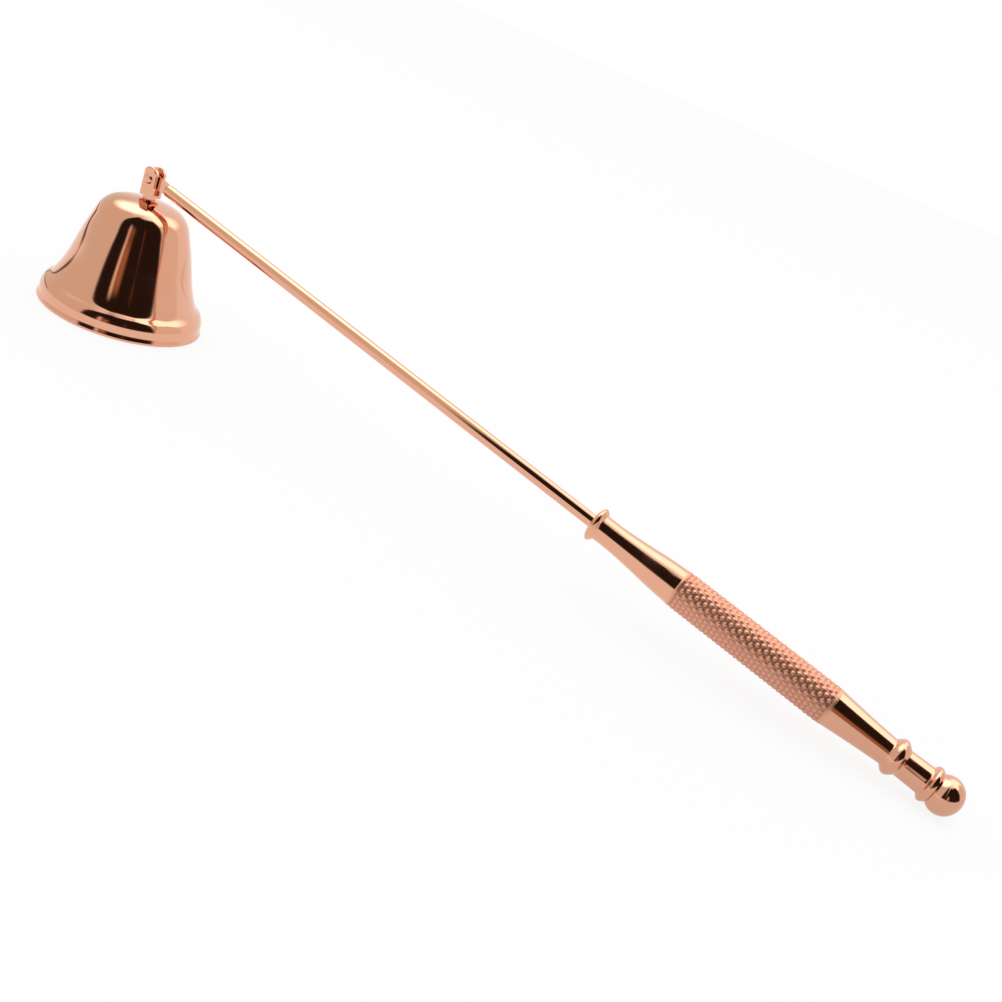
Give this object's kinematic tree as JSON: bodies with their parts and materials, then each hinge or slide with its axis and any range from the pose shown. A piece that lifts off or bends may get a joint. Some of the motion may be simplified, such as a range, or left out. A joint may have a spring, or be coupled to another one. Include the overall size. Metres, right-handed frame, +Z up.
{
  "type": "candle snuffer",
  "caption": "Bell-shaped candle snuffer on a hinge at the end of a long thin rod, with a turned and knurled handle that ends in a ball.",
  "frame": {"origin": "centre of the bell's mouth, on the plane of the rim that it stands on", "axes": "+Z up along the bell's axis; +X from the bell towards the handle; the rod lies in the XZ plane and slopes down until the ball of the handle touches z = 0"},
  "size_m": [0.2134, 0.0352, 0.0333],
  "materials": {
    "plated_metal": "polished rose gold plating",
    "bright_steel": "bright zinc"
  },
  "bodies": {
    "arm": {"rod": "plated_metal", "handle": "plated_metal"},
    "head": {"bell": "plated_metal", "hinge_post": "plated_metal", "stem_washer": "bright_steel", "stem_nut": "bright_steel", "hinge_pin": "plated_metal"}
  },
  "joints": [
    {"name": "bell_hinge", "type": "hinge", "parent": "arm", "child": "head", "pos_m": [0, 0, 0.0307], "axis": [0, 1, 0], "range_deg": [-17, 213]}
  ]
}
